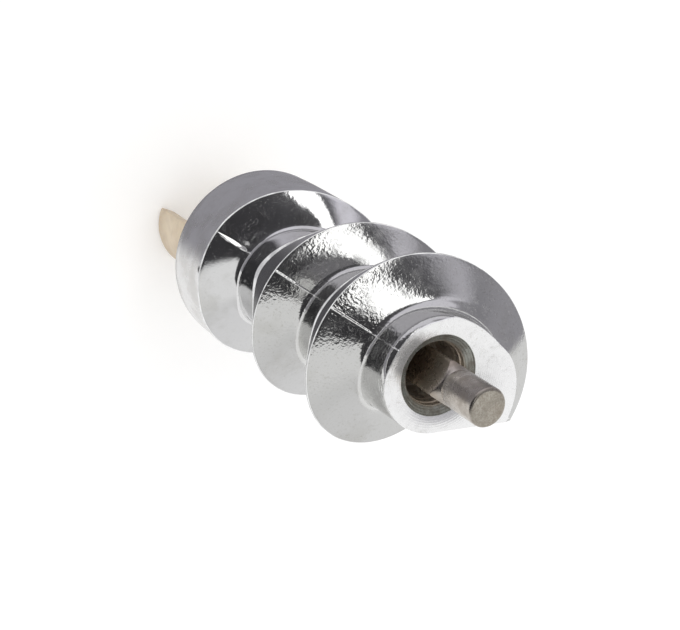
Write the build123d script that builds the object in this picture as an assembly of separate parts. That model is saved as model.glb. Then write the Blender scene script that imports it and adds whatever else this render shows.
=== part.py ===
from build123d import *
import os
from math import acos, cos, degrees, pi, radians, sin, tan

os.makedirs("parts", exist_ok=True)

# Meat grinder auger, in millimetres, standing on the claws of its plastic coupling.
# Z runs along the axis of the screw, from the claw ends at zero up to the tip of the pin.
# The casting is parted in the plane Y = 0, and the flats of the pin face along X and Y.

# Driving dimensions along the axis.
# Everything of the casting is measured from the rear face of the drum.
claw_reach = 41.0
casting_length = 88.0
pin_reach = 105.3
drum_z = claw_reach
end_z = drum_z + casting_length
tip_z = drum_z + pin_reach

# Drum and flights, seen from outside.
drum_radius = 22.9
flight_radius = 22.45
drum_web = 8.4
band_top = 17.9
band_taper = 4.5
rim_chamfer = 0.5
core_radius_rear = 14.4
core_radius_front = 12.2
overlap = 2.0

# Winding of the single left hand flight.
# Turns are counted from where the flight leaves the band, and the pitch shrinks towards the end.
start_angle = -7.0
first_pitch = 36.25
pitch_drop = 3.35
die_flattening = 0.9
ramp_from = -0.33
ramp_to = -0.09
flight_from = -0.5
flight_to = 2.78
steps_per_turn = 40

# Section of the flight.
front_slope = 20.0
rear_slope = 10.0
land_width = 0.6
section_reach = 0.6
core_bite = 1.6

# The land is wider where the two halves of the die met, and widest on the slow turns.
part_land_turn = 0.972
part_land_spread = 0.085
part_land_first = 6.4
part_land_second = 2.3
channel_from = 0.2
channel_to = 0.46

# Recess and pin seat in the front end.
recess_radius = 8.4
recess_throat = 6.5
recess_bevel = 1.1
recess_depth = 7.0
tail_depth = 8.5

# Steel pin that carries the knife.
pin_flats = 8.0
pin_corner_radius = 5.3
pin_root_depth = 26.0
square_reach = 95.0
square_bevel = 1.4
journal_radius = 4.0
journal_neck = 0.25
neck_length = 0.8
pin_chamfer = 0.35
pin_fit = 0.0

# Plastic coupling that slips over a square boss of the casting.
claw_radius = 13.5
claw_wall = 4.0
claw_width = 74.0
claw_angle = 50.0
claw_bevel = 1.2
claw_length = 24.0
coupling_floor = 6.0
flange_radius = 16.5
flange_thickness = 3.0
boss_flats = 13.0
boss_fit = 0.0
flange_fit = 0.15
seat_depth = flange_thickness

# Screw that holds the coupling on the boss.
screw_radius = 2.5
screw_hole_fit = 0.3
screw_grip = 14.0
screw_head_radius = 4.8
screw_head_height = 3.2
cross_width = 1.3
cross_length = 5.2
cross_depth = 1.8

coupling_rear_z = drum_z - (claw_reach - claw_length)
boss_end_z = coupling_rear_z + coupling_floor
seat_z = drum_z + seat_depth


def smooth(value):
    """Rise from nought to one without a kink at either end."""
    value = min(max(value, 0.0), 1.0)
    return value * value * (3.0 - 2.0 * value)


def rim_height(turn):
    """Height of the front edge of the flight above the rear face of the drum."""
    if turn < 0.0:
        ramp = smooth((turn - ramp_from) / (ramp_to - ramp_from))
        return drum_web + (band_top - drum_web) * ramp
    wound = first_pitch * turn - pitch_drop * turn**2
    return band_top + wound - die_flattening * sin(4.0 * pi * turn)


def land(turn):
    """Width of the land on the rim, from its front edge back."""
    width = land_width
    for full_turn, extra in ((0, part_land_first), (1, part_land_second)):
        off = abs(turn - part_land_turn - full_turn) / part_land_spread
        width += extra * smooth(1.0 - off)
    back_to_web = rim_height(turn) - drum_web + overlap
    opened = smooth((turn - channel_from) / (channel_to - channel_from))
    return width * opened + back_to_web * (1.0 - opened)


def core_radius(height):
    """Radius of the core, which tapers towards the front end."""
    share = height / casting_length
    return core_radius_rear + (core_radius_front - core_radius_rear) * share


def flank(edge_height, slope, side):
    """Outer and inner point of one flank, where side is 1 for the front."""
    lean = tan(radians(slope))
    inner_radius = core_radius(edge_height + side * 3.0) - core_bite
    outer = (flight_radius + section_reach, edge_height - side * section_reach * lean)
    inner = (inner_radius, edge_height + side * (flight_radius - inner_radius) * lean)
    return outer, inner


def flight_section(turn):
    """Wire round the flight in the half plane that belongs to this turn."""
    angle = radians(start_angle - 360.0 * turn)
    front_edge = rim_height(turn)
    front_outer, front_inner = flank(front_edge, front_slope, 1)
    rear_outer, rear_inner = flank(front_edge - land(turn), rear_slope, -1)
    corners = [rear_outer, front_outer, front_inner, rear_inner]
    return Wire.make_polygon([
        (radius * cos(angle), radius * sin(angle), drum_z + height) for radius, height in corners
    ])


# The flight is lofted in pieces of about half a turn that share their end sections.
piece_count = round((flight_to - flight_from) * 2)
steps_per_piece = round((flight_to - flight_from) * steps_per_turn / piece_count)
step = (flight_to - flight_from) / (piece_count * steps_per_piece)
flight_pieces = []
for piece in range(piece_count):
    first = piece * steps_per_piece
    sections = [flight_section(flight_from + step * (first + k)) for k in range(steps_per_piece + 1)]
    flight_pieces.append(Solid.make_loft(sections, ruled=True))

# The tail is trimmed flat, from the rim at the parting plane to where the cut grazes the core.
tail_angle = 180.0 - degrees(acos(core_radius_front / flight_radius))
tail_cut = Rot(0, 0, tail_angle) * Pos(
    core_radius_front + flight_radius / 2, 0, end_z - tail_depth / 2
) * Box(flight_radius, 3 * flight_radius, tail_depth)
flight_pieces[-1] = flight_pieces[-1] - tail_cut

# The turned outside: the drum runs into the flights by a slight taper.
with BuildPart() as envelope_build:
    with BuildSketch(Plane.XZ):
        with BuildLine():
            Polyline(
                (0, drum_z),
                (drum_radius - rim_chamfer, drum_z),
                (drum_radius, drum_z + rim_chamfer),
                (drum_radius, drum_z + band_top),
                (flight_radius, drum_z + band_top + band_taper),
                (flight_radius, end_z),
                (0, end_z),
                close=True,
            )
        make_face()
    revolve(axis=Axis.Z)
envelope = envelope_build.part

# Core with its draft, and the web of the drum.
core_length = casting_length - drum_web + overlap
core = Pos(0, 0, end_z - core_length / 2) * Cone(
    core_radius(casting_length - core_length), core_radius_front, core_length
)
web = Pos(0, 0, drum_z + drum_web / 2) * Cylinder(drum_radius, drum_web)

# Square boss at the rear, which drives the coupling.
boss_length = seat_z - boss_end_z + overlap
boss = Pos(0, 0, boss_end_z + boss_length / 2) * Box(boss_flats, boss_flats, boss_length)
seat = Pos(0, 0, drum_z + seat_depth / 2) * (
    Cylinder(flange_radius + flange_fit, seat_depth) - Box(boss_flats, boss_flats, seat_depth)
)
screw_hole = Pos(0, 0, boss_end_z + screw_grip / 2) * Cylinder(screw_radius, screw_grip)

# Recess in the front end, turned round the pin, and the socket that holds the pin.
with BuildPart() as recess_build:
    with BuildSketch(Plane.XZ):
        with BuildLine():
            Polyline(
                (0, end_z - recess_depth),
                (recess_throat, end_z - recess_depth),
                (recess_throat, end_z - recess_bevel),
                (recess_radius, end_z),
                (recess_radius, end_z + overlap),
                (0, end_z + overlap),
                close=True,
            )
        make_face()
    revolve(axis=Axis.Z)
recess = recess_build.part


def squared_bar(flats, corner_radius, bottom, top):
    """Square bar whose corners are turned down to a radius."""
    length = top - bottom
    middle = Pos(0, 0, (bottom + top) / 2)
    return middle * (Box(flats, flats, length) & Cylinder(corner_radius, length))


pin_root_z = end_z - pin_root_depth
socket = squared_bar(pin_flats + pin_fit, pin_corner_radius + pin_fit, pin_root_z, end_z)

screw_end_z = boss_end_z + screw_grip
body = core
for flight_piece in flight_pieces:
    body = body + flight_piece
body = (body + web) & envelope
body = body + boss - seat - screw_hole - recess - socket
body.label = "auger_body"

# Pin: square shank with turned corners, a narrow neck and the round journal.
square_top_z = drum_z + square_reach
with BuildPart() as turned_build:
    with BuildSketch(Plane.XZ):
        with BuildLine():
            Polyline(
                (0, pin_root_z),
                (pin_corner_radius, pin_root_z),
                (pin_corner_radius, square_top_z - square_bevel),
                (journal_radius - journal_neck, square_top_z),
                (journal_radius - journal_neck, square_top_z + neck_length),
                (journal_radius, square_top_z + neck_length + journal_neck),
                (journal_radius, tip_z - pin_chamfer),
                (journal_radius - pin_chamfer, tip_z),
                (0, tip_z),
                close=True,
            )
        make_face()
    revolve(axis=Axis.Z)
pin_length = tip_z - pin_root_z
pin_block = Pos(0, 0, pin_root_z + pin_length / 2) * Box(pin_flats, pin_flats, pin_length)
pin = turned_build.part & pin_block
pin.label = "knife_pin"

# Coupling: flange in the drum, round body over the boss, and two long claws.
body_length = seat_z - coupling_rear_z
coupling = Pos(0, 0, coupling_rear_z + body_length / 2) * Cylinder(claw_radius, body_length)
coupling += Pos(0, 0, seat_z - flange_thickness / 2) * Cylinder(flange_radius, flange_thickness)
claw_ring = Cylinder(claw_radius, claw_length) - Cylinder(claw_radius - claw_wall, claw_length)
for side in (0, 180):
    with BuildSketch() as wedge:
        with BuildLine():
            Line((0, 0), (2 * claw_radius, 0))
            CenterArc((0, 0), 2 * claw_radius, 0, claw_width)
            Line(PolarLocations(2 * claw_radius, 1, claw_width).locations[0].position, (0, 0))
        make_face()
    sector = Rot(0, 0, claw_angle - claw_width / 2 + side) * extrude(wedge.sketch, claw_length)
    claw = (Pos(0, 0, claw_length / 2) * claw_ring) & sector
    tip_edges = claw.edges().filter_by_position(Axis.Z, -0.01, 0.01)
    claw = chamfer(tip_edges, claw_bevel)
    coupling += claw
bore_length = seat_z - boss_end_z
coupling -= Pos(0, 0, boss_end_z + bore_length / 2) * Box(
    boss_flats + boss_fit, boss_flats + boss_fit, bore_length
)
coupling -= Pos(0, 0, coupling_rear_z + coupling_floor / 2) * Cylinder(
    screw_radius + screw_hole_fit, coupling_floor
)
coupling.label = "drive_coupling"

# Pan head screw with a cross recess, driven in from the rear.
shank_length = screw_end_z - coupling_rear_z
screw = Pos(0, 0, coupling_rear_z + shank_length / 2) * Cylinder(screw_radius, shank_length)
head = Pos(0, 0, coupling_rear_z - screw_head_height / 2) * Cylinder(
    screw_head_radius, screw_head_height
)
head_bottom = head.edges().filter_by(GeomType.CIRCLE).sort_by(Axis.Z)[0]
head = chamfer(head_bottom, screw_head_height * 0.4)
cross_z = coupling_rear_z - screw_head_height + cross_depth / 2
cross = Pos(0, 0, cross_z) * (
    Box(cross_length, cross_width, cross_depth) + Box(cross_width, cross_length, cross_depth)
)
screw = screw + head - cross
screw.label = "coupling_screw"

for part in (body, pin, coupling, screw):
    export_step(part, f"parts/{part.label}.step")
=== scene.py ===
import math

import bmesh
import bpy
import numpy as np
from mathutils import Matrix, Vector


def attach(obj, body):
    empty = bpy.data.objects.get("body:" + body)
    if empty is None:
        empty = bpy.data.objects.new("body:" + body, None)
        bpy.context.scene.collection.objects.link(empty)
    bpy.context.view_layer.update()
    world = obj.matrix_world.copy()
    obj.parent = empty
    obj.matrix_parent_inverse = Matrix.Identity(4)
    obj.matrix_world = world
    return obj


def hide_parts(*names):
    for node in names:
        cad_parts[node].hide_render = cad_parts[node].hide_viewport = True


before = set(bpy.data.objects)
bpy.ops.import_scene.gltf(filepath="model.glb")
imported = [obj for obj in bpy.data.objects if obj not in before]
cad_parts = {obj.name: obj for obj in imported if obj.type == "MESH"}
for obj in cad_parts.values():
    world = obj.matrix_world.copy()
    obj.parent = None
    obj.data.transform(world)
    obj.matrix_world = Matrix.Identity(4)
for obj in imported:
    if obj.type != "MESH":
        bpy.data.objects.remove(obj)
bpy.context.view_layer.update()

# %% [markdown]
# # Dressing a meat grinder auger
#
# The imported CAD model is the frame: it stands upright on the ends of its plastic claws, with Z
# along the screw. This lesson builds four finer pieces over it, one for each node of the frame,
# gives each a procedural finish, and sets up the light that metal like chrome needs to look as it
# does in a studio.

MM = 0.001


def add_object(name, data):
    """Puts a mesh, a lamp or a camera into the scene."""
    made = bpy.data.objects.new(name, data)
    bpy.context.scene.collection.objects.link(made)
    return made

# %% [markdown]
# ## Textures written as sums
#
# A procedural finish is arithmetic on positions and noise. The class below wraps one output socket
# of a node tree, so that `a * 2 + b` adds the nodes for it. Numbers go through Math nodes, vectors
# through Vector Math, and `mixed` blends two colours. Every other node comes from `add`.

# %% A socket that can be added, multiplied and blended
def plug(target, given):
    """Links a wrapped socket to an input, or writes a plain value into it."""
    if isinstance(given, Sock):
        target.id_data.links.new(given.socket, target)
    else:
        target.default_value = given


class Sock:
    """One output socket of a node tree, with arithmetic that adds the nodes for it."""

    def __init__(self, socket):
        self.socket = socket
        self.tree = socket.id_data

    def add(self, kind, settings, inputs, output=0):
        """Adds any other node to this tree: its type, its settings, then its sockets."""
        node = self.tree.nodes.new(kind)
        for name, setting in settings.items():
            setattr(node, name, setting)
        for name, given in inputs.items():
            plug(node.inputs[name], given)
        return Sock(node.outputs[output]) if node.outputs else node

    def _is_vector(self):
        return self.socket.type in ("VECTOR", "RGBA")

    def _combine(self, operation, first, second=None):
        vector = any(isinstance(v, Sock) and v._is_vector() for v in (first, second))
        kind = "ShaderNodeVectorMath" if vector else "ShaderNodeMath"
        given = [v for v in (first, second) if v is not None]
        if vector:
            given = [(v, v, v) if isinstance(v, (int, float)) else v for v in given]
        return self.add(kind, {"operation": operation}, dict(enumerate(given)))

    def __add__(self, other):
        return self._combine("ADD", self, other)

    def __radd__(self, other):
        return self._combine("ADD", other, self)

    def __sub__(self, other):
        return self._combine("SUBTRACT", self, other)

    def __rsub__(self, other):
        return self._combine("SUBTRACT", other, self)

    def __mul__(self, other):
        return self._combine("MULTIPLY", self, other)

    def __rmul__(self, other):
        return self._combine("MULTIPLY", other, self)

    def __truediv__(self, other):
        return self._combine("DIVIDE", self, other)

    def math(self, operation, other=None):
        """Any other operation of the Math node."""
        return self._combine(operation, self, other)

    def dot(self, direction):
        """Length of this vector along a direction."""
        inputs = {0: self, 1: direction}
        return self.add("ShaderNodeVectorMath", {"operation": "DOT_PRODUCT"}, inputs, "Value")

    def length(self):
        """Length of this vector."""
        return self.add("ShaderNodeVectorMath", {"operation": "LENGTH"}, {0: self}, "Value")

    def parts(self):
        """The X, Y and Z of this vector."""
        node = self.tree.nodes.new("ShaderNodeSeparateXYZ")
        plug(node.inputs[0], self)
        return [Sock(output) for output in node.outputs]

    def rise(self, start, end, low=0.0, high=1.0):
        """Goes softly from low to high while this number goes from start to end."""
        inputs = {"Value": self, "From Min": start, "From Max": end, "To Min": low, "To Max": high}
        return self.add("ShaderNodeMapRange", {"interpolation_type": "SMOOTHSTEP"}, inputs)

    def noise(self, scale, detail=2.0, roughness=0.5, distortion=0.0):
        """Noise read at this position, about 0.5 on average."""
        inputs = {"Vector": self, "Scale": scale, "Detail": detail}
        inputs.update({"Roughness": roughness, "Distortion": distortion})
        return self.add("ShaderNodeTexNoise", {}, inputs)

    def mixed(self, first, second):
        """Blend of two colours, where this number is the share of the second."""
        settings = {"data_type": "RGBA"}
        inputs = {"Factor": self, 6: first, 7: second}
        return self.add("ShaderNodeMix", settings, inputs, 2)


def grey(level, tint=(1.0, 1.0, 1.0)):
    """An opaque colour, from its level and a slight tint."""
    return tuple(level * t for t in tint) + (1.0,)


def new_material(name, **constants):
    """A Principled material, its shader and the position on the object."""
    material = bpy.data.materials.new(name)
    material.use_nodes = True
    shader = material.node_tree.nodes["Principled BSDF"]
    for socket, value in constants.items():
        shader.inputs[socket.replace("_", " ")].default_value = value
    place = Sock(material.node_tree.nodes.new("ShaderNodeTexCoord").outputs["Object"])
    return material, shader, place


def bump(shader, height, distance):
    """Sends a height in units of distance to the shader's normal."""
    inputs = {"Height": height, "Distance": distance, "Strength": 1.0}
    plug(shader.inputs["Normal"], height.add("ShaderNodeBump", {}, inputs))


def told(material):
    """Prints how large the node tree of a material has become."""
    print(material.name, "takes", len(material.node_tree.nodes), "nodes")
    return material

# %% [markdown]
# ## The finish of the metal
#
# The screw is one die casting with five finishes. The flights and the core keep the polished skin
# of the die, which is a mirror with a faint orange peel. An image could be wrapped round it, but
# noise read at the position needs no unwrapping and stays sharp at any distance, so scratches,
# stains and grain are all made from it here. The grain is strongest on the side of the flights
# where the photograph shows it.

# %% Polished skin of the die
def radial(place):
    """Distance from the axis and height, in metres."""
    x, y, z = place.parts()
    return (x * x + y * y).math("SQRT"), z


def spot(place, at, radius):
    """One at a point, falling to nought at a radius."""
    return (place - at).length().rise(0.3 * radius, radius, 1.0, 0.0)


def scratches(place, scale):
    """Thin curved scratches and specks: one on them, nought beside them."""
    line = (place.noise(scale, 2.0, 0.6, 2.0) - 0.5).math("ABSOLUTE").rise(0.0, 0.012, 1.0, 0.0)
    some = place.noise(scale * 0.45, 1.0).rise(0.52, 0.6)
    dots = place.noise(2300.0, 1.0).rise(0.66, 0.74)
    return (line * some).math("MAXIMUM", dots)


def cast_skin():
    """Polished skin of the flights and the core, with stains, scratches and grain."""
    material, shader, place = new_material("cast skin")
    radius, height = radial(place)
    front = height.rise(0.079, 0.092)
    cloud = place.noise(110.0, 4.0, 0.6)
    speck = place.noise(1900.0, 2.0, 0.7)
    clean = front.mixed(grey(0.68), grey(0.61, (1.0, 1.0, 0.985)))
    stain = cloud.rise(0.5, 0.72) * 0.4 + speck.rise(0.56, 0.7) * (front * 0.45 + 0.12)
    plug(shader.inputs["Base Color"], stain.mixed(clean, grey(0.47, (1.0, 0.99, 0.93))))
    wear_and_painted_light = place.noise(320.0, 3.0, 0.6).rise(0.35, 0.7)
    plug(shader.inputs["Roughness"], wear_and_painted_light * (front * 0.05 + 0.04) + front * 0.02 + 0.06)
    grain = place.noise(1500.0, 1.5, 0.6)
    wave = place.noise(420.0, 1.5, 0.5)
    patchy = place.noise(130.0, 2.0, 0.5).rise(0.4, 0.6, 0.45, 1.0)
    near_rim = radius.rise(0.0195, 0.0215) * height.rise(0.062, 0.08, 0.08, 0.22)
    plug(shader.inputs["Metallic"], scratches(place, 230.0) * -0.24 + 1.0)
    rough_side = (place.dot((0.985, 0.17, 0.0)) / radius).rise(0.6, 0.94, 0.28, 1.15)
    bump(shader, grain * patchy * (front * rough_side + near_rim + 0.1) + wave * 0.2, 0.00005)
    return told(material)


metal = [cast_skin()]

# %% [markdown]
# ## The machined and the worn places, and painted light and shade
#
# The drum and the lands are turned on a lathe, so their highlights are drawn out by an anisotropic
# shader, and one side of the lands is darkened by painted shade. The end is faced and has fine
# circular marks. The recess is bored, with grime, and its mouth is darkened by painted shade. The
# thin edges of the rims are rubbed pale, which also paints a highlight along them. A mask could
# blend them in one material, but they meet along edges of the mesh, so each is a slot of its own.

# %% Turned drum and lands
PIT_AT, PIT_RADIUS = (0.02067, 0.00986, 0.0572), 0.0012


def turned_skin():
    """Lathe turned drum and lands, one pit at the drum's rim, and painted shade on one side of the
    lands.
    """
    material, shader, place = new_material(
        "turned skin", Metallic=1.0, Anisotropic=0.6, Anisotropic_Rotation=0.25
    )
    radius, height = radial(place)
    cloud = place.noise(120.0, 3.0, 0.6)
    pit = spot(place, PIT_AT, PIT_RADIUS)
    tone = cloud.rise(0.4, 0.7).mixed(grey(0.72), grey(0.62, (1.0, 0.99, 0.97)))
    # Painted shade: above 66 mm the lands turn dark grey on the side towards (0.5, 0.866).
    shaded = (place.dot((0.5, 0.866, 0.0)) / radius).rise(0.05, 0.45, 0.1, 0.9)
    wear_and_painted_light = (height.rise(0.066, 0.074) * shaded).mixed(tone, grey(0.12))
    plug(shader.inputs["Base Color"], pit.mixed(wear_and_painted_light, grey(0.05)))
    plug(shader.inputs["Roughness"], cloud.rise(0.3, 0.7, 0.2, 0.3))
    groove = (height * 9000.0 + cloud * 3.0).math("SINE")
    peel = place.noise(700.0, 2.0, 0.5)
    bump(shader, groove * 0.1 + peel * 0.6, 0.00002)
    return told(material)


metal.append(turned_skin())

# %% Faced end, bored recess with painted shade, and rubbed edges with painted highlights
def faced_skin():
    """Faced end, pale and a little dirty, with circular marks."""
    material, shader, place = new_material("faced skin", Metallic=0.75, Anisotropic=0.3)
    radius = radial(place)[0]
    scratch = place.noise(260.0, 4.0, 0.75, 1.5)
    speck = place.noise(1800.0, 2.0, 0.6)
    dirt = scratch.rise(0.56, 0.72) * 0.6 + speck.rise(0.6, 0.75) * 0.4
    plug(shader.inputs["Base Color"], dirt.mixed(grey(0.9), grey(0.66, (1.0, 0.98, 0.93))))
    plug(shader.inputs["Roughness"], scratch.rise(0.3, 0.7, 0.17, 0.3))
    rings = (radius * 12000.0 + place.noise(200.0) * 4.0).math("SINE")
    bump(shader, rings * 0.12 + speck * 0.5 + scratch * 0.6, 0.00002)
    return told(material)


def bored_skin():
    """Bored wall with tool steps and grime, dark near the mouth with painted shade, brown further
    in.
    """
    material, shader, place = new_material("bored recess", Metallic=0.45)
    radius, height = radial(place)
    grime = place.noise(420.0, 3.0, 0.6)
    # Painted shade: near the mouth the wall is far darker than the rest of the metal, varied by
    # grime.
    clean, dirty_and_shaded = grey(0.36, (0.97, 1.0, 0.92)), grey(0.22, (1.0, 0.93, 0.8))
    tone = grime.rise(0.35, 0.65).mixed(clean, dirty_and_shaded)
    inner = height.rise(0.1274, 0.1280, 0.8, 0.0)
    plug(shader.inputs["Base Color"], inner.mixed(tone, grey(0.62, (1.0, 0.85, 0.69))))
    plug(shader.inputs["Roughness"], grime.rise(0.3, 0.7, 0.2, 0.4))
    steps = (height * 9000.0 + radius * 7000.0 + grime * 2.0).math("SINE")
    bump(shader, steps * 0.4 + grime * 0.5, 0.00003)
    return told(material)


def edge_skin():
    """Thin edge of a rim, rubbed pale and matt, which also paints a highlight along it."""
    material, shader, place = new_material("worn edge")
    rub_and_painted_bright = place.noise(300.0, 3.0, 0.6)
    # Painted highlight: the pale colour brightens the thin edges, on top of real rubbing.
    plug(shader.inputs["Base Color"], rub_and_painted_bright.rise(0.35, 0.65).mixed(grey(0.95), grey(0.72)))
    plug(shader.inputs["Metallic"], rub_and_painted_bright.rise(0.3, 0.7, 0.05, 0.45))
    plug(shader.inputs["Roughness"], rub_and_painted_bright.rise(0.3, 0.7, 0.4, 0.3))
    bump(shader, place.noise(1800.0, 2.0), 0.00003)
    return told(material)


metal += [faced_skin(), bored_skin(), edge_skin()]
CAST, TURNED, FACED, BORE, EDGE = range(len(metal))

# %% [markdown]
# ## The winding of the screw
#
# One left hand flight leaves the drum and winds nearly three times round the core. Its pitch
# shrinks towards the front, and twice a turn, at the two halves of the die, the helix is flattened.
# The land on its rim widens into a wedge where the die closed. A screw modifier gives only an even
# pitch, so the rim is a formula here. The CAD uses the same formulas, but here the band in front of
# the drum falls away a little sooner and the rim swells just after it, as the reflections in the
# photograph show.

# %% The helix in numbers
# Millimetres along the axis count from the rear face of the drum, which stands at DRUM_Z.
# Turns count from where the flight leaves the band.
DRUM_Z = 41.0
LENGTH = 88.0
DRUM_RADIUS = 22.9
FLIGHT_RADIUS = 22.45
WEB = 8.4
BAND_TOP = 17.9
BAND_TAPER = 4.5
RIM_CHAMFER = 0.5
CORE_REAR, CORE_FRONT = 14.4, 12.2
START_ANGLE = -7.0
FIRST_PITCH, PITCH_DROP, FLATTENING = 36.25, 3.35, 0.9
RAMP_FROM, RAMP_TO = -0.37, -0.14
BAND_LEAD, BAND_SLOPE_DROP, BAND_SLOPE_TURNS = 14.0, 0.06, 0.1
SWELL, SWELL_FROM, SWELL_RISE, SWELL_BACK_FROM, SWELL_FALL = 0.22, 0.04, 0.14, 0.22, 0.4
FRONT_SLOPE, REAR_SLOPE = math.tan(math.radians(20)), math.tan(math.radians(10))
TAIL_CORNER = 180.0
TAIL_ANGLE = TAIL_CORNER - math.degrees(math.acos(CORE_FRONT / FLIGHT_RADIUS))
TAIL_PROUD = 0.04
LAND, LAND_TURN, LAND_SPREAD, LAND_RUNOUT = 0.6, 0.972, 0.085, 0.12
LAND_EXTRA = (6.4, 2.3)
CHANNEL_FROM, CHANNEL_TO = 0.2, 0.46
OVERLAP = 2.0


def smooth(value):
    """Rises from nought to one without a kink at either end."""
    value = min(max(value, 0.0), 1.0)
    return value * value * (3.0 - 2.0 * value)


def rim_height(turn):
    """Height of the front edge of the flight above the rear face of the drum."""
    if turn < 0.0:
        level = BAND_TOP + BAND_LEAD * turn
        return WEB + (level - WEB) * smooth((turn - RAMP_FROM) / (RAMP_TO - RAMP_FROM))
    wound = FIRST_PITCH * turn - PITCH_DROP * turn**2
    up = smooth((turn - SWELL_FROM) / SWELL_RISE)
    back = smooth((turn - SWELL_BACK_FROM) / SWELL_FALL)
    wound += SWELL * (up - back)
    return BAND_TOP + wound - FLATTENING * math.sin(4.0 * math.pi * turn)


def land_foot(turn):
    """Height of the rear edge of the land, which is the drum's web until the channel opens."""
    width = LAND
    for full_turn, extra in enumerate(LAND_EXTRA):
        off = turn - LAND_TURN - full_turn
        width += extra * smooth(1.0 - abs(off) / (LAND_SPREAD if off < 0.0 else LAND_RUNOUT))
    opened = smooth((turn - CHANNEL_FROM) / (CHANNEL_TO - CHANNEL_FROM))
    height = rim_height(turn)
    return max(height - width * opened - (height - WEB + OVERLAP) * (1.0 - opened), WEB)


def core(height):
    """Radius of the core, which tapers towards the front."""
    return CORE_REAR + (CORE_FRONT - CORE_REAR) * height / LENGTH


def outside(height):
    """Radius of the turned outside at a height."""
    taper = [BAND_TOP, BAND_TOP + BAND_TAPER]
    return float(np.interp(height, taper, [DRUM_RADIUS, FLIGHT_RADIUS]))


def edge_point(turn, height, slope):
    """Point on an edge of the rim, which lies further in where the tail is trimmed flat."""
    full = outside(height)
    past = START_ANGLE - 360.0 * turn + 3 * 360.0 - TAIL_ANGLE
    if past > TAIL_CORNER - TAIL_ANGLE:
        return np.array([full, height])
    chord = CORE_FRONT / math.cos(math.radians(max(past, 0.0)))
    radius = min(full, max(chord, core(height) + TAIL_PROUD))
    return np.array([radius, height + (full - radius) * slope])


for turn in (0.0, 0.5, 1.0, 1.5, 2.0, 2.5):
    rim, foot = rim_height(turn), land_foot(turn)
    print("turn", turn, "rim at", round(rim, 2), "land from", round(foot, 2))

# %% [markdown]
# ## The section of one groove
#
# Each column of the mesh is the same walk: along the land, over the rim, down the front flank,
# along the core and up the rear flank of the next wind. It ends where the column one turn further
# on starts, so the columns weld into one skin. A bevel modifier would need a weight on every edge,
# so corners are rounded here by arcs: small on the rims, wide at the foot of a flank.

# %% Rounded corners in the half plane
def rounded(before, corner, after, radius, count):
    """Points of an arc that rounds one corner."""
    back, ahead = before - corner, after - corner
    reach_back, reach_ahead = np.hypot(*back), np.hypot(*ahead)
    if min(reach_back, reach_ahead) < 1e-6:
        return [corner] * (count + 1)
    back, ahead = back / reach_back, ahead / reach_ahead
    half = 0.5 * math.acos(float(np.clip(back @ ahead, -0.999999, 0.999999)))
    reach = min(radius / math.tan(half), 0.46 * reach_back, 0.46 * reach_ahead)
    start, end = corner + back * reach, corner + ahead * reach
    bisector = (back + ahead) / np.hypot(*(back + ahead))
    centre = corner + bisector * reach / math.cos(half)
    points = []
    for k in range(count + 1):
        spoke = (start - centre) * (1 - k / count) + (end - centre) * (k / count)
        length = np.hypot(*spoke)
        wanted = np.hypot(*(start - centre))
        points.append(centre + spoke * (wanted / max(length, 1e-9)))
    return points


def run(first, last, count):
    """Points strictly between two points."""
    return [first + (last - first) * (k + 1) / (count + 1) for k in range(count)]


arc = rounded(np.array([1.0, 0.0]), np.zeros(2), np.array([0.0, 1.0]), 0.2, 4)
print("a right angle, rounded:", np.round(arc, 3).tolist())

# %% One groove from land to land
FRONT_FILLET, END_FILLET, REAR_FILLET = 1.9, 3.1, 0.9
END_FILLET_FROM, END_FILLET_TURNS = 2.05, 0.2
NECK_ROUND, NECK_FROM, NECK_TO, NECK_BLEND, NECK_TURN = 1.5, -75.0, 35.0, 25.0, 1.6
END_SPARE = 0.05
FOOT_LIFT, FOOT_LIFT_TURNS = 0.25, 0.05
FIRST_EDGE, EDGE_ROUND, WEDGE_ROUND, WEDGE_TURNS = 0.3, 0.2, 1.1, 0.12


def foot_point(turn):
    """Where one groove ends and the next land starts."""
    foot, rim = land_foot(turn), rim_height(turn)
    lift = min(FOOT_LIFT, 0.4 * (rim - foot)) * smooth((turn - CHANNEL_FROM) / FOOT_LIFT_TURNS)
    base = edge_point(turn, foot, -REAR_SLOPE)
    return np.array([min(base[0], outside(foot + lift)), base[1] + lift])


def neck(points, first, last, turn):
    """Rounds the end of the core over a range of angles, where it meets the end face."""
    top = LENGTH + END_SPARE
    if turn < NECK_TURN or not first[1] < LENGTH - NECK_ROUND - 0.1 < top < last[1]:
        return points
    angle = (START_ANGLE - 360.0 * turn + 180.0) % 360.0 - 180.0
    share = smooth((angle - NECK_FROM) / NECK_BLEND) * smooth((NECK_TO - angle) / NECK_BLEND)
    bent = []
    for k in range(len(points)):
        rise = k / (len(points) - 1)
        height = LENGTH - NECK_ROUND + (NECK_ROUND + END_SPARE) * rise
        inward = NECK_ROUND * (1.0 - math.sqrt(max(1.0 - min(rise, 0.97) ** 2, 0.0)))
        bent.append(np.array([core(height) - inward * share, height]))
    return bent


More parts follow.
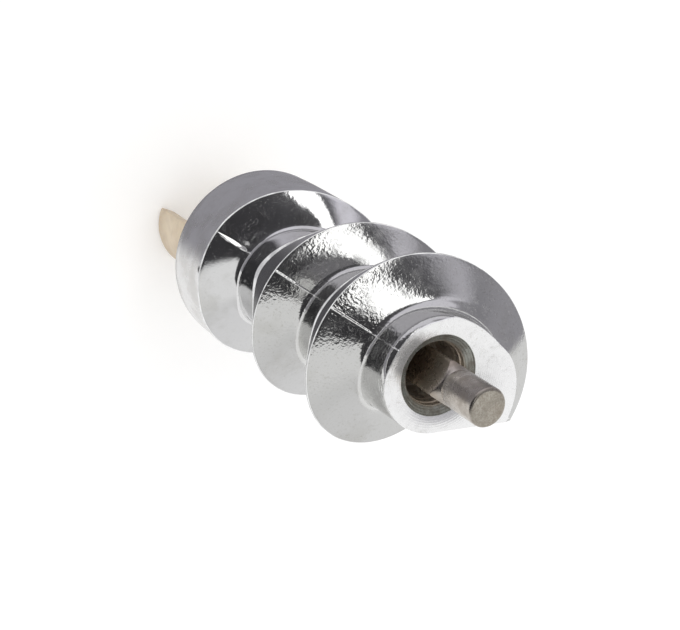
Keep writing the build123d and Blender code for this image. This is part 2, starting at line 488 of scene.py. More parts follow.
def section(turn):
    """Groove from land to land, and the faces between which the rim is worn and painted bright."""
    rim, foot = rim_height(turn), land_foot(turn + 1.0)
    start, end = foot_point(turn), foot_point(turn + 1.0)
    a = edge_point(turn, rim, FRONT_SLOPE)
    d = edge_point(turn + 1.0, foot, -REAR_SLOPE)
    gap = max(foot - rim, 0.0)
    depth = 0.88 * gap / (FRONT_SLOPE + REAR_SLOPE)
    low = max(core(rim + 3.0), a[0] - depth)
    high = min(max(core(foot - 3.0), d[0] - depth), d[0])
    slope = FRONT_SLOPE - BAND_SLOPE_DROP * smooth(-turn / BAND_SLOPE_TURNS)
    b = np.array([low, a[1] + (a[0] - low) * slope])
    c = np.array([high, d[1] - (d[0] - high) * REAR_SLOPE])
    over_rim = rounded(start, a, b, FIRST_EDGE if turn < 0.6 else EDGE_ROUND, 4)
    fillet = FRONT_FILLET + END_FILLET * smooth((turn - END_FILLET_FROM) / END_FILLET_TURNS)
    front_root = rounded(a, b, c, fillet, 8)
    rear_root = rounded(b, c, d, REAR_FILLET, 8)
    off_wedge = min(abs(turn + 1.0 - at) for at in (LAND_TURN, LAND_TURN + 1.0))
    wedge = smooth(1.0 - off_wedge / WEDGE_TURNS)
    rear_rim = rounded(c, d, end, EDGE_ROUND + WEDGE_ROUND * wedge, 5)
    points = [start] + run(start, over_rim[0], 3) + over_rim
    turned = len(points) - len(over_rim)
    points += run(over_rim[-1], front_root[0], 9) + front_root
    along_core = run(front_root[-1], rear_root[0], 9)
    points += neck(along_core, front_root[-1], rear_root[0], turn) + rear_root
    points += run(rear_root[-1], rear_rim[0], 9) + rear_rim + [end]
    return np.array(points), turned, turned + len(over_rim) - 1


print("points in a section:", len(section(1.0)[0]))

# %% [markdown]
# ## The skin of the casting
#
# The two halves of the die left a raised line where they met, along both sides of the screw. Bump
# would not show in outline, so it is part of the mesh: columns are crowded there, and the section
# is pushed out along its own normal.

# %% Columns and the parting line
FIRST_TURN, LAST_TURN = -0.8, 2.8
PARTING = [START_ANGLE / 360.0 % 1.0, (START_ANGLE / 360.0 + 0.5) % 1.0]
RIDGE_STEPS = (0.0, 0.05, 0.12, 0.2, 0.34, 0.5, 0.66, 0.8)
COLUMNS, COLUMN_GAP, FAR = 220, 0.0012, 99.0
FIN_EDGE, FIN_SWELL, LINE_WIDTH, RIDGE_RISE, RIDGE_FLANK = 0.1, 0.46, 0.19, 0.58, 0.1
ROUND = 2 * math.pi * FLIGHT_RADIUS


def column_turns():
    """Columns of one turn, each with its distance past the parting line, or FAR from it."""
    steps = {}
    for phase in PARTING:
        centre = (phase - FIRST_TURN) % 1.0
        for offset in RIDGE_STEPS:
            for side in (-1, 1):
                steps[round(centre + side * offset / ROUND, 7)] = side * offset
    ridge = sorted(steps)
    for k in range(COLUMNS):
        at = k / COLUMNS
        if min(abs(at - r) for r in ridge) > COLUMN_GAP:
            steps[round(at, 7)] = FAR
    return sorted(steps.items())


def ridge_heights(points, turn, offset, turned):
    """How far the parting line stands out. It leans to one side, and is a broad fin at the drum."""
    inner = CORE_REAR - 1.0
    across = np.clip((points[:, 0] - inner) / (FLIGHT_RADIUS - inner), 0.0, 1.0)
    broad = FIN_EDGE + FIN_SWELL * np.sin(math.pi * across)
    half_width = broad if turn < 0.5 else np.full(len(points), LINE_WIDTH)
    lean = np.clip((half_width - offset) / (2.0 * half_width), 0.0, 1.0)
    top = RIDGE_RISE * half_width * points[:, 0] / FLIGHT_RADIUS * lean
    top *= np.clip((offset + half_width + RIDGE_FLANK) / RIDGE_FLANK, 0.0, 1.0)
    top[:turned + 2] = 0.0
    top[-1] = 0.0
    return top


def pushed(points, distance):
    """Moves a section out along its normal in the half plane."""
    along = np.gradient(points, axis=0)
    normal = np.stack([along[:, 1], -along[:, 0]], axis=1)
    size = np.hypot(normal[:, 0], normal[:, 1])[:, None]
    return points + normal / np.maximum(size, 1e-9) * distance[:, None]


def wheel(points, turn):
    """Places a section in the half plane of its turn, in metres."""
    angle = math.radians(START_ANGLE - 360.0 * turn)
    r, h = points[:, 0], points[:, 1]
    return np.stack([r * math.cos(angle), r * math.sin(angle), h + DRUM_Z], axis=1) * MM


print("columns in a turn:", len(column_turns()))

# %% Wound skin and the rear of the drum
SEAT_RADIUS, SEAT_DEPTH = 16.65, 3.0
REAR = np.array([
    (SEAT_RADIUS, SEAT_DEPTH), (SEAT_RADIUS, 0.3), (SEAT_RADIUS + 0.1, 0.1),
    (SEAT_RADIUS + 0.3, 0.0), (19.5, 0.0), (DRUM_RADIUS - RIM_CHAMFER, 0.0),
    (DRUM_RADIUS - 0.15, 0.18), (DRUM_RADIUS, RIM_CHAMFER), (DRUM_RADIUS, 3.0),
    (DRUM_RADIUS, 5.7), (DRUM_RADIUS, WEB),
])
REAR_FACED = 5


def wound_skin():
    """Vertices, quads and finishes of the drum and the winding."""
    verts, faces, finishes = [], [], []

    def strip(columns, finish_of):
        base, size = len(verts), len(columns[0])
        for column in columns:
            verts.extend(map(tuple, column))
        for i in range(len(columns) - 1):
            for k in range(size - 1):
                a = base + i * size + k
                faces.append((a, a + 1, a + size + 1, a + size))
                finishes.append(finish_of(i, k))

    steps = column_turns()
    turns = [(FIRST_TURN + whole + at, offset) for whole in range(4) for at, offset in steps]
    turns = [(turn, offset) for turn, offset in turns if turn <= LAST_TURN]
    columns = []
    for turn, offset in turns:
        points, turned, wear_and_painted_light = section(turn)
        ridge = ridge_heights(points, turn, offset, turned)
        columns.append(wheel(pushed(points, ridge), turn))

    # The land and the worn rim, which is also painted bright, take the same faces in every section,
    # so the last will do for all.
    def finish_of(i, k):
        if k < turned:
            # Painted highlight: the first strip of the land past the channel's opening is pale as
            # well.
            return EDGE if k == 0 and turns[i][0] > CHANNEL_TO else TURNED
        return EDGE if k < wear_and_painted_light else CAST

    strip(columns, finish_of)
    first = [turn for turn, offset in turns if turn < FIRST_TURN + 1.0] + [FIRST_TURN + 1.0]
    strip([wheel(REAR, turn) for turn in first], lambda i, k: FACED if k < REAR_FACED else TURNED)
    return verts, faces, finishes


verts, faces, finishes = wound_skin()
print("wound skin:", len(verts), "points,", len(faces), "quads")

# %% [markdown]
# ## Facing the end
#
# The skin is cut off flat at the front. The cut edge is broken by a fine chamfer, and the face is
# filled round the countersunk recess that the pin stands in. A boolean could cut it as well, but
# the chamfer needs the outline in order, so it is read off the cut, and the face is filled between
# it and the mouth of the recess. The recess wall keeps a few tool steps.

# %% From a bmesh to a piece of the object
RECESS_REACH = 9.2


def to_mesh(name, bm):
    """Writes a bmesh into new mesh data."""
    mesh = bpy.data.meshes.new(name)
    bm.to_mesh(mesh)
    bm.free()
    return mesh


def finish_mesh(name, bm, materials, node, sharp, sharp_above=None):
    """Makes a piece that stands for a CAD node. Edges above a height can all be kept sharp."""
    mesh = to_mesh(name, bm)
    for material in materials:
        mesh.materials.append(material)
    mesh.shade_smooth()
    mesh.set_sharp_from_angle(angle=math.radians(sharp))
    if sharp_above is not None:
        outer = RECESS_REACH * MM
        high = [v.co.z > sharp_above and math.hypot(*v.co[:2]) > outer for v in mesh.vertices]
        hard = mesh.attributes["sharp_edge"].data
        for edge in mesh.edges:
            if high[edge.vertices[0]] and high[edge.vertices[1]]:
                hard[edge.index].value = True
    piece = add_object(name, mesh)
    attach(piece, "root")
    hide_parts(node)
    tris = sum(len(p.vertices) - 2 for p in mesh.polygons)
    print(name, tris, "triangles")


def polar(bm, r, angle, height):
    """A new vertex, given in millimetres round the axis."""
    return bm.verts.new((r * math.cos(angle) * MM, r * math.sin(angle) * MM, height * MM))


def full_circle(count):
    """Angles of a number of equal steps round the axis."""
    return [2 * math.pi * k / count for k in range(count)]


def join_rings(bm, rings, finish=0):
    """Quads between each ring of vertices and the next."""
    for lower, upper in zip(rings, rings[1:]):
        for k in range(len(lower)):
            j = (k + 1) % len(lower)
            bm.faces.new((lower[k], lower[j], upper[j], upper[k])).material_index = finish


def lathe(bm, profile, count, finish=0, close=False):
    """Turns a profile of radius and height round the axis."""
    rings = [[polar(bm, r, angle, h) for angle in full_circle(count)] for r, h in profile]
    join_rings(bm, rings, finish)
    if close:
        bm.faces.new(rings[-1]).material_index = finish
    return rings


# %% End face and recess
RECESS_SIDES = 128
RECESS = np.array([
    (8.52, 88.0), (8.4, 87.94), (8.2, 87.6), (6.95, 86.9), (6.7, 86.6), (6.68, 85.6), (6.45, 85.4),
    (6.43, 83.9), (6.3, 83.7), (6.28, 82.0), (6.1, 81.6), (6.05, 80.2), (5.7, 78.0), (3.5, 76.0),
])
END_BEVEL = 0.12
END_CUT = (DRUM_Z + LENGTH - END_BEVEL) * MM


def ordered_loop(edges):
    """Vertices of a closed run of edges, in order."""
    links = {}
    for edge in edges:
        for vert in edge.verts:
            links.setdefault(vert, []).append(edge.other_vert(vert))
    start = next(iter(links))
    loop, last = [start], None
    while True:
        here = loop[-1]
        ahead = [v for v in links[here] if v is not last]
        last = here
        if not ahead or ahead[0] is start:
            return loop
        loop.append(ahead[0])


def cut_end(bm):
    """Cuts the skin off at END_CUT and gives the vertices of the cut, in order."""
    geometry = list(bm.verts) + list(bm.edges) + list(bm.faces)
    bmesh.ops.bisect_plane(
        bm, geom=geometry, dist=1e-7, plane_co=(0, 0, END_CUT), plane_no=(0, 0, 1),
        clear_outer=True
    )
    open_edges = [e for e in bm.edges if e.is_boundary]
    return ordered_loop([
        e for e in open_edges if all(abs(v.co.z - END_CUT) < 1e-6 for v in e.verts)
    ])


def break_edge(bm, loop):
    """Adds the chamfer inside the cut and gives the ring of vertices at its top."""
    flat = np.array([v.co[:2] for v in loop])
    x, y = flat.T
    along = np.roll(flat, -1, axis=0) - np.roll(flat, 1, axis=0)
    area = 0.5 * np.sum(x * np.roll(y, -1) - y * np.roll(x, -1))
    inward = np.stack([-along[:, 1], along[:, 0]], axis=1) * np.sign(area)
    inward /= np.maximum(np.hypot(inward[:, 0], inward[:, 1])[:, None], 1e-12)
    at = flat + inward * END_BEVEL * MM
    top = [bm.verts.new((x, y, END_CUT + END_BEVEL * MM)) for x, y in at]
    for k in range(len(loop)):
        j = (k + 1) % len(loop)
        bm.faces.new((loop[k], loop[j], top[j], top[k])).material_index = FACED
    print("end outline:", len(loop), "points; area", round(abs(area) * 1e6, 1), "mm2")
    return top


def ring_edges(bm, ring):
    """The edges between neighbours in a closed ring of vertices."""
    return [bm.edges.get((ring[k], ring[(k + 1) % len(ring)])) for k in range(len(ring))]


def build_casting():
    """Welds the wound skin, closes its end and turns all faces outwards."""
    bm = bmesh.new()
    made = [bm.verts.new(v) for v in verts]
    for corners, finish in zip(faces, finishes):
        bm.faces.new([made[i] for i in corners]).material_index = finish
    bmesh.ops.remove_doubles(bm, verts=bm.verts, dist=2e-6)
    bmesh.ops.dissolve_degenerate(bm, edges=bm.edges, dist=1e-6)
    top = break_edge(bm, cut_end(bm))
    outline = ring_edges(bm, top)
    rings = lathe(bm, RECESS + [0.0, DRUM_Z], RECESS_SIDES, BORE)
    edges = outline + ring_edges(bm, rings[0])
    filled = bmesh.ops.triangle_fill(bm, edges=edges, use_beauty=True, normal=(0, 0, 1))
    for item in filled["geom"]:
        if isinstance(item, bmesh.types.BMFace):
            item.material_index = FACED
    bmesh.ops.recalc_face_normals(bm, faces=bm.faces)
    # The skin is open where the seat and the pin cover it, so the outermost face has to decide.
    outermost = max(bm.faces, key=lambda face: face.calc_center_median().xy.length)
    if outermost.normal.xy.dot(outermost.calc_center_median().xy) < 0.0:
        bmesh.ops.reverse_faces(bm, faces=bm.faces)
    sharp_from = END_CUT - 1e-6
    finish_mesh("casting", bm, metal, "auger_body", 32.0, sharp_from)


build_casting()

# %% [markdown]
# ## The knife pin
#
# The pin is a square steel bar whose corners are turned down, with a cone where it runs into the
# round journal. Its outline at each height is the smaller of the square and the turned circle, with
# the edge between them eased, so that the scallops at the shoulder come by themselves. A boolean of
# a box and a turned bar would leave that edge sharp.

# %% Tarnished steel
def pin_steel():
    """Satin steel with turning marks, brown on the shank and speckled on the end."""
    material, shader, place = new_material("tarnished steel", Metallic=1.0, Anisotropic=0.4)
    mottle = place.noise(520.0, 4.0, 0.6)
    blotch = place.noise(160.0, 3.0, 0.6)
    height = place.parts()[2]
    tone = mottle.rise(0.3, 0.75).mixed(grey(0.5, (1.0, 0.93, 0.85)), grey(0.38, (1.0, 0.9, 0.79)))
    shank = height.rise(0.1345, 0.1362, 0.6, 0.0)
    brown = (blotch.rise(0.45, 0.75) * 0.35).math("MAXIMUM", shank)
    speck = place.noise(2400.0, 3.0, 0.7).rise(0.35, 0.65)
    speckled = speck.mixed(grey(0.42, (1.0, 0.95, 0.82)), grey(0.26, (1.0, 0.88, 0.7)))
    wear_and_painted_light = (height.rise(0.14605, 0.14625) * 0.7).mixed(tone, speckled)
    plug(shader.inputs["Base Color"], brown.mixed(wear_and_painted_light, grey(0.31, (1.0, 0.8, 0.61))))
    plug(shader.inputs["Roughness"], mottle.rise(0.3, 0.7, 0.22, 0.34))
    groove = (height * 14000.0 + blotch * 5.0).math("SINE")
    bump(shader, groove * 0.1 + mottle * 0.4, 0.00003)
    return told(material)


# %% Pin mesh
TIP_Z = 146.3
PIN_ROOT_Z = 103.0
SQUARE_TOP_Z = 136.0
HALF_FLATS, CORNER, JOURNAL, JOURNAL_NECK = 4.0, 5.3, 4.0, 3.75
CONE, NECK_LENGTH, NECK_END = 1.4, 0.8, 1.05
TIP_ROUND = 0.6
EDGE_EASE = 0.1
TIP_RINGS = (3.2, 2.2, 1.2, 0.5)


def pin_turned(z):
    """Radius of the turned outside of the pin, with a rounded end."""
    up = max(z - TIP_Z + TIP_ROUND, 0.0)
    if up > 0.0:
        return JOURNAL - TIP_ROUND + math.sqrt(max(TIP_ROUND**2 - up**2, 0.0))
    heights = [0, SQUARE_TOP_Z - CONE, SQUARE_TOP_Z, SQUARE_TOP_Z + NECK_LENGTH,
               SQUARE_TOP_Z + NECK_END]
    return float(np.interp(z, heights, [CORNER, CORNER, JOURNAL_NECK, JOURNAL_NECK, JOURNAL]))


def eased_min(a, b, soft):
    """The smaller of two numbers, with a soft change from one to the other."""
    blend = min(max(0.5 + 0.5 * (b - a) / soft, 0.0), 1.0)
    return b * (1 - blend) + a * blend - soft * blend * (1 - blend)


def pin_heights():
    """Heights of the rings: close together at the shoulder and at the rounded end."""
    heights = [PIN_ROOT_Z, TIP_Z]
    for start, stop, step in (
        (110, 134.2, 2.0), (134.2, 137.6, 0.08), (138.4, 145.4, 1.0), (145.45, TIP_Z + 0.001, 0.085)
    ):
        heights += list(np.arange(start, stop, step))
    return sorted(set(round(float(h), 4) for h in heights))


def build_pin():
    """Rings of the eased outline, closed at both ends."""
    bm = bmesh.new()
    quarter = [*np.arange(0, 36, 4), *np.arange(36, 54, 0.75), *np.arange(54, 90, 4)]
    angles = [math.radians(q + 90 * side) for side in range(4) for q in quarter]
    rings = []
    for z in pin_heights():
        ring = []
        for angle in angles:
            square = HALF_FLATS / max(abs(math.cos(angle)), abs(math.sin(angle)))
            ring.append(polar(bm, eased_min(pin_turned(z), square, EDGE_EASE), angle, z))
        rings.append(ring)
    rings += [[polar(bm, r, angle, TIP_Z) for angle in angles] for r in TIP_RINGS]
    join_rings(bm, rings)
    bm.faces.new(rings[-1])
    bm.faces.new(list(reversed(rings[0])))
    bmesh.ops.recalc_face_normals(bm, faces=bm.faces)
    finish_mesh("pin", bm, [pin_steel()], "knife_pin", 24.0)


build_pin()

# %% [markdown]
# ## The plastic coupling
#
# A cream moulding slips over the boss of the casting. Its two claws are bent from rounded bars: a
# box with bevelled edges is cut into slices and wrapped round the axis, so the edges stay round. A
# sector cut from a ring has the same form, but its edges would have to be bevelled along curves.

# %% Cream plastic
def soft_plastic():
    """Cream plastic that lets a little light in, with faint flow marks."""
    material, shader, place = new_material("cream plastic", IOR=1.46)
    cloud = place.noise(90.0, 3.0, 0.6)
    flow = place.noise(260.0, 2.0, 0.5, 1.0)
    light, dark = grey(0.71, (1.0, 0.84, 0.62)), grey(0.58, (1.0, 0.80, 0.57))
    tone = cloud.rise(0.35, 0.7).mixed(light, dark)
    marks = flow.rise(0.5, 0.75) * 0.3
    plug(shader.inputs["Base Color"], marks.mixed(tone, grey(0.5, (1.0, 0.8, 0.58))))
    plug(shader.inputs["Roughness"], cloud.rise(0.3, 0.7, 0.38, 0.5))
    bump(shader, place.noise(1400.0, 2.0, 0.5), 0.00002)
    shader.inputs["Subsurface Weight"].default_value = 0.15
    shader.inputs["Subsurface Radius"].default_value = (0.004, 0.0028, 0.0015)
    return told(material)


# %% Coupling with its two claws
CLAW_RADIUS, CLAW_WALL, CLAW_WIDTH, CLAW_ANGLE = 13.5, 4.0, 74.0, 50.0
CLAW_LENGTH, CLAW_ROOT = 24.0, 1.0
CLAW_SIDE_ROUND, CLAW_TIP_ROUND, CLAW_SLICES = 0.5, 1.45, 23
COUPLING_PROFILE = [
    (2.8, 30.0), (2.8, 24.4), (3.2, 24.0), (12.9, 24.0), (13.3, 24.12), (13.5, 24.4),
    (13.5, 40.0), (13.8, 40.7), (14.5, 41.0), (16.1, 41.0), (16.4, 41.15), (16.5, 41.5),
    (16.5, 44.0), (6.5, 44.0),
]


def bevel_edges(bm, edges, radius, steps):
    """Rounds some edges."""
    bmesh.ops.bevel(bm, geom=edges, offset=radius, segments=steps, profile=0.5, affect="EDGES")


def claw_bar(width):
    """Straight bar with rounded sides and tips, sliced so that it can be bent."""
    bar = bmesh.new()
    length = CLAW_LENGTH + CLAW_ROOT
    bmesh.ops.create_cube(bar, size=1.0)
    bmesh.ops.scale(bar, vec=(width, CLAW_WALL, length), verts=bar.verts)
    bmesh.ops.translate(bar, vec=(0, 0, length / 2), verts=bar.verts)
    sides = [e for e in bar.edges if abs(e.verts[0].co.z - e.verts[1].co.z) > 1.0]
    bevel_edges(bar, sides, CLAW_SIDE_ROUND, 3)
    tips = [e for e in bar.edges if all(v.co.z < 0.01 for v in e.verts)]
    bevel_edges(bar, tips, CLAW_TIP_ROUND, 6)
    for x in np.linspace(-width / 2 + 0.6, width / 2 - 0.6, CLAW_SLICES):
        geometry = list(bar.verts) + list(bar.edges) + list(bar.faces)
        bmesh.ops.bisect_plane(
            bar, geom=geometry, dist=1e-5, plane_co=(x, 0, 0), plane_no=(1, 0, 0)
        )
    return bar


def bent_claw(bm, middle):
    """One claw, bent round the axis from a bevelled bar."""
    bar = claw_bar(math.radians(CLAW_WIDTH) * CLAW_RADIUS)
    mid = CLAW_RADIUS - CLAW_WALL / 2
    bent = {}
    for vert in bar.verts:
        x, y, z = vert.co
        bent[vert] = polar(bm, mid + y, math.radians(middle) + x / CLAW_RADIUS, z)
    for face in bar.faces:
        bm.faces.new([bent[v] for v in face.verts])
    bar.free()


def build_coupling():
    """Body, flange and two claws, which reach a little into the body."""
    bm = bmesh.new()
    lathe(bm, COUPLING_PROFILE, 96)
    for middle in (CLAW_ANGLE, CLAW_ANGLE + 180.0):
        bent_claw(bm, middle)
    bmesh.ops.recalc_face_normals(bm, faces=bm.faces)
    finish_mesh("coupling", bm, [soft_plastic()], "drive_coupling", 30.0)


build_coupling()

# %% [markdown]
# ## The screw that holds the coupling
#
# Seen from the rear, a pan head screw sits between the claws. The cross in its head is pressed in:
# the dome of the head is a polar grid whose height drops inside the cross, with sloping walls. Two
# crossed boxes cut out by a boolean would leave walls too sharp for a pressed head.

# %% Plated steel
def plated_steel():
    """Bright plating with a few dull clouds."""
    material, shader, place = new_material("plated steel", Metallic=1.0)
    cloud = place.noise(500.0, 3.0, 0.6)
    tone = cloud.rise(0.4, 0.7).mixed(grey(0.62), grey(0.45, (1.0, 0.95, 0.85)))
    plug(shader.inputs["Base Color"], tone)
    plug(shader.inputs["Roughness"], cloud.rise(0.3, 0.7, 0.22, 0.36))
    bump(shader, place.noise(1600.0, 2.0, 0.5), 0.00002)
    return told(material)


# %% Screw head with a pressed cross
HEAD_RADIUS, HEAD_HEIGHT, HEAD_Z = 4.8, 3.2, 24.0
HEAD_RINGS = np.concatenate([[0.05], np.linspace(0.2, 3.4, 26), np.linspace(3.5, HEAD_RADIUS, 14)])
CROSS_DEPTH, CROSS_HALF_WIDTH, CROSS_REACH = 1.8, 0.85, 2.75
THREAD_RADIUS, THREAD_ROOT, THREAD_PITCH, THREAD_CREST = 2.5, 2.1, 0.8, 0.7
THREAD_FROM, THREAD_TO, SCREW_END = 24.3, 43.2, 44.0


def head_height(x, y):
    """How far the head stands out below its seat, less the cross."""
    r = math.hypot(x, y) / HEAD_RADIUS
    dome = HEAD_HEIGHT * max(1.0 - r**5, 0.0) ** 0.5
    arm, across = max(abs(x), abs(y)), min(abs(x), abs(y))
    inside = smooth((CROSS_HALF_WIDTH - across) / 0.25) * smooth((CROSS_REACH - arm) / 0.5)
    return dome - CROSS_DEPTH * inside * (1.0 - 0.35 * smooth((arm - 0.4) / 2.4))


def thread_profile():
    """Radius and height along the shank: the seat of the head, the ridges and the end."""
    profile = [(HEAD_RADIUS, HEAD_Z), (THREAD_RADIUS, HEAD_Z)]
    z = THREAD_FROM
    while z < THREAD_TO:
        profile += [(THREAD_RADIUS, z), (THREAD_ROOT, z + 0.35), (THREAD_RADIUS, z + THREAD_CREST)]
        z += THREAD_PITCH
    return profile + [(1.9, SCREW_END), (0.2, SCREW_END)]


def build_screw():
    """Dome of the head with its cross, and the threaded shank."""
    bm = bmesh.new()
    rings = []
    for r in HEAD_RINGS:
        ring = []
        for angle in full_circle(96):
            x, y = r * math.cos(angle), r * math.sin(angle)
            ring.append(bm.verts.new((x * MM, y * MM, (HEAD_Z - head_height(x, y)) * MM)))
        rings.append(ring)
    for inner, outer in zip(rings, rings[1:]):
        for k in range(len(inner)):
            j = (k + 1) % len(inner)
            bm.faces.new((inner[k], outer[k], outer[j], inner[j]))
    bm.faces.new(rings[0])
    lathe(bm, thread_profile(), 48, close=True)
    bmesh.ops.recalc_face_normals(bm, faces=bm.faces)
    finish_mesh("screw", bm, [plated_steel()], "coupling_screw", 35.0)


build_screw()

# %% [markdown]
# ## Camera
#
# The camera was found by fitting the ellipses of the drum, the end and the pin in the photograph.
# It looks down on the standing screw and is rolled, because in the photograph the screw lies down.
# The fit gives three directions, which are the columns of the camera's rotation. Aiming by a
# constraint would be simpler, but cannot give the roll.

# %% Camera from the fit
RIGHT = Vector((-0.70975, -0.53938, 0.45313))
UP = Vector((0.44770, -0.84199, -0.30102))
BACK = Vector((0.54390, -0.01079, 0.83908))
CAMERA_AT = Vector((0.1462, -0.0021, 0.3130))
FOCAL_PIXELS, PHOTO_PIXELS, SENSOR = 1200.0, 680.0, 36.0


def placed(at, right, up, back):
    """Matrix that puts a camera or a lamp at a point, with its own X, Y and Z along three axes."""
    return Matrix.Translation(at) @ Matrix((right, up, back)).transposed().to_4x4()


camera_data = bpy.data.cameras.new("camera")
camera_data.sensor_width = SENSOR
camera_data.lens = FOCAL_PIXELS / PHOTO_PIXELS * SENSOR
camera_data.clip_start = 0.01
camera = add_object("camera", camera_data)
camera.matrix_world = placed(CAMERA_AT, RIGHT, UP, BACK)
bpy.context.scene.camera = camera
end_face = Vector((0, 0, (DRUM_Z + LENGTH) * MM))
print("camera distance to the end face:", round((camera.location - end_face).length, 3), "m")

# %% [markdown]
# ## Light
#
# The world is plain white, so every colour renders about as it is written. A mirror in plain white
# looks like plaster, so product photographers hang dark card round chrome. The flags here do that:
# a dim dome round the object and a low plate over the floor, both seen by glossy rays only. Soft
# holes in them let the white world through where the photograph shows the table. A dim world would
# do the same to the metal, but it would darken the plastic too.

# %% Directions in the photograph, and the world
PHOTO_UP = Vector((0.63616, -0.76719, 0.08202))
PHOTO_RIGHT = Vector((-0.70941, -0.53979, 0.45317))
PHOTO_FRONT = Vector((0.30322, 0.34634, 0.88775))


def photo_direction(azimuth, elevation):
    """Direction by azimuth from the camera to the right and elevation over the table."""
    a, e = math.radians(azimuth), math.radians(elevation)
    level = PHOTO_FRONT * math.cos(a) + PHOTO_RIGHT * math.sin(a)
    return level * math.cos(e) + PHOTO_UP * math.sin(e)


def build_world():
    """Plain white all round, which lights every colour at the level it is written."""
    world = bpy.data.worlds.new("studio")
    bpy.context.scene.world = world
    world.use_nodes = True
    background = world.node_tree.nodes["Background"]
    background.inputs["Color"].default_value = (1.0, 1.0, 1.0, 1.0)
    background.inputs["Strength"].default_value = 1.0
    print("world:", world.name)


build_world()

# %% Flags that only glossy rays see
CENTRE_HEIGHT = 0.09
DOME_RADIUS, PLATE_RADIUS, PLATE_HEIGHT, PLATE_LEVEL = 5.5, 1.2, 0.0003, 0.36
FLAG_TINT = (0.98, 0.96, 1.04, 1.0)
TO_DEGREES = 180.0 / math.pi


def flag_material(name, level_and_hole):
    """Dim card that glossy rays see, with soft holes where the white world shows through."""
    material = bpy.data.materials.new(name)
    material.use_nodes = True
    tree = material.node_tree
    tree.nodes.clear()
    place = Sock(tree.nodes.new("ShaderNodeTexCoord").outputs["Object"])
    level, hole = level_and_hole(place)
    glow = place.add("ShaderNodeEmission", {}, {"Color": FLAG_TINT, "Strength": level})
    clear = Sock(tree.nodes.new("ShaderNodeBsdfTransparent").outputs[0])
    card = place.add("ShaderNodeMixShader", {}, {0: hole, 1: glow, 2: clear})
    place.add("ShaderNodeOutputMaterial", {}, {"Surface": card})
    return told(material)


def room_pattern(place):
    """Dim room, lighter to the right and behind, with soft lights on high and the table a hole."""
    look = place.add("ShaderNodeVectorMath", {"operation": "NORMALIZE"}, {0: place})
    height = look.dot(PHOTO_UP)
    azimuth = look.dot(PHOTO_RIGHT).math("ARCTAN2", look.dot(PHOTO_FRONT)) * TO_DEGREES
    rise = height.math("ARCSINE") * TO_DEGREES
    room = height.rise(0.0, 0.95, 0.05, 0.11)
    side = azimuth.rise(36.0, 56.0) * azimuth.rise(135.0, 175.0, 1.0, 0.6)
    back = azimuth.math("ABSOLUTE").rise(125.0, 165.0)
    near = azimuth.rise(37.0, 47.0) * azimuth.rise(56.0, 66.0, 1.0, 0.0) * rise.rise(20.0, 40.0)
    high = azimuth.rise(20.0, 34.0) * azimuth.rise(105.0, 125.0, 1.0, 0.0) * rise.rise(46.0, 54.0)
    band = (azimuth - 53.0).math("ABSOLUTE").rise(2.0, 12.0, 1.0, 0.0) * rise.rise(8.0, 20.0)
    overhead = rise.rise(50.0, 60.0)
    soft = near.math("MAXIMUM", high).math("MAXIMUM", band * 0.5).math("MAXIMUM", overhead)
    low_side = side * rise.rise(12.0, 30.0, 1.0, 0.6)
    room = room + low_side * 0.3 + azimuth.rise(28.0, 40.0) * 0.06 + back * 0.25 * (1.0 - side)
    room = room * (1.0 - soft) + soft * 0.86
    table = (rise - azimuth * 0.11).rise(-18.5, -13.0, 1.0, 0.0)
    return room, table * height.rise(-0.97, -0.6, 0.78, 0.95)


def floor_pattern(place):
    """Dim plate on the side that was up in the photograph, and a hole on the other side."""
    return PLATE_LEVEL, place.dot(PHOTO_UP).rise(-0.004, 0.014, 1.0, 0.0)


def build_flags():
    """A dome and a low plate that only glossy rays see, as black card round a chrome object."""
    dome, plate = bmesh.new(), bmesh.new()
    bmesh.ops.create_icosphere(dome, subdivisions=5, radius=DOME_RADIUS)
    bmesh.ops.create_circle(plate, cap_ends=True, segments=64, radius=PLATE_RADIUS)
    for name, bm, pattern, height in (
        ("flag dome", dome, room_pattern, CENTRE_HEIGHT),
        ("flag plate", plate, floor_pattern, PLATE_HEIGHT),
    ):
        mesh = to_mesh(name, bm)
        mesh.materials.append(flag_material(name, pattern))
        flag = add_object(name, mesh)
        flag.location.z = height
        flag.visible_camera = flag.visible_diffuse = flag.visible_shadow = False
        flag.visible_transmission = flag.visible_volume_scatter = False


build_flags()

# %% [markdown]
# ## Lamp and floor
#
# The white streak on each front flank is the reflection of one long, narrow softbox. An area lamp
# gives it, and also the soft shadow. Its size is written as the angle it takes up seen from the
# object, so that its distance can change without changing the streak. The floor is pale and keeps
# its shadow. It glows a little to rays from the camera, off metal and through glass.

# %% Softbox
LAMP_DISTANCE = 5.0


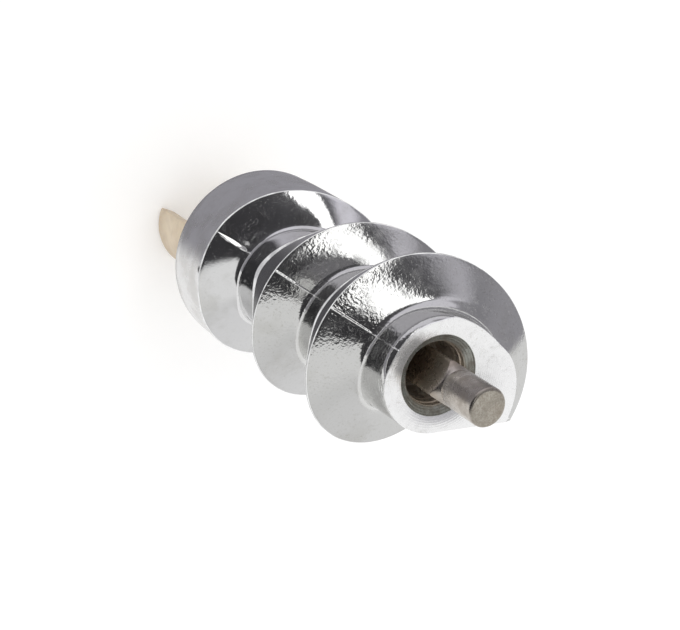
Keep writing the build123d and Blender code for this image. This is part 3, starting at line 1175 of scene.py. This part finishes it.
def spanned(angle):
    """Length that takes up an angle, seen from the object, at the lamp's distance."""
    return 2 * LAMP_DISTANCE * math.tan(math.radians(angle / 2))


def softbox(name, azimuth, elevation, width, height, slant, radiance):
    """Area lamp that faces the object and is as bright as the radiance when seen in metal."""
    lamp = bpy.data.lights.new(name, "AREA")
    lamp.shape = "RECTANGLE"
    lamp.size, lamp.size_y = spanned(width), spanned(height)
    lamp.energy = radiance * math.pi * lamp.size * lamp.size_y
    piece = add_object(name, lamp)
    back = photo_direction(azimuth, elevation)
    across = Matrix.Rotation(math.radians(slant), 3, back) @ PHOTO_UP.cross(back).normalized()
    at = Vector((0, 0, CENTRE_HEIGHT)) + back * LAMP_DISTANCE
    piece.matrix_world = placed(at, across, back.cross(across), back)
    print(name, "energy", round(lamp.energy, 3), "W")


softbox(
    "strip softbox", azimuth=25.6, elevation=25.0, width=9.5, height=42.0, slant=-11.0,
    radiance=2.0
)

# %% Pale floor
FLOOR_RADIUS, FLOOR_HEIGHT, FLOOR_GLOW = 4.0, -0.0002, 0.16


def build_floor():
    """Round pale floor that keeps the shadow."""
    bm = bmesh.new()
    bmesh.ops.create_circle(bm, cap_ends=True, segments=96, radius=FLOOR_RADIUS)
    mesh = to_mesh("floor", bm)
    floor = add_object("floor", mesh)
    floor.location.z = FLOOR_HEIGHT
    material, shader, place = new_material("pale floor", Roughness=0.9)
    plug(shader.inputs["Base Color"], place.noise(40.0).mixed(grey(0.87), grey(0.89)))
    shader.inputs["Emission Color"].default_value = (1.0, 1.0, 1.0, 1.0)
    path = material.node_tree.nodes.new("ShaderNodeLightPath")
    seen = Sock(path.outputs["Is Camera Ray"]) + Sock(path.outputs["Is Glossy Ray"])
    glow = (seen + Sock(path.outputs["Is Transmission Ray"])).rise(0.0, 1.0, 0.0, FLOOR_GLOW)
    plug(shader.inputs["Emission Strength"], glow)
    mesh.materials.append(told(material))


build_floor()

# %% [markdown]
# ## View transform
#
# The view transform is plain.

# %% Output settings
scene = bpy.context.scene
scene.view_settings.view_transform = "Standard"
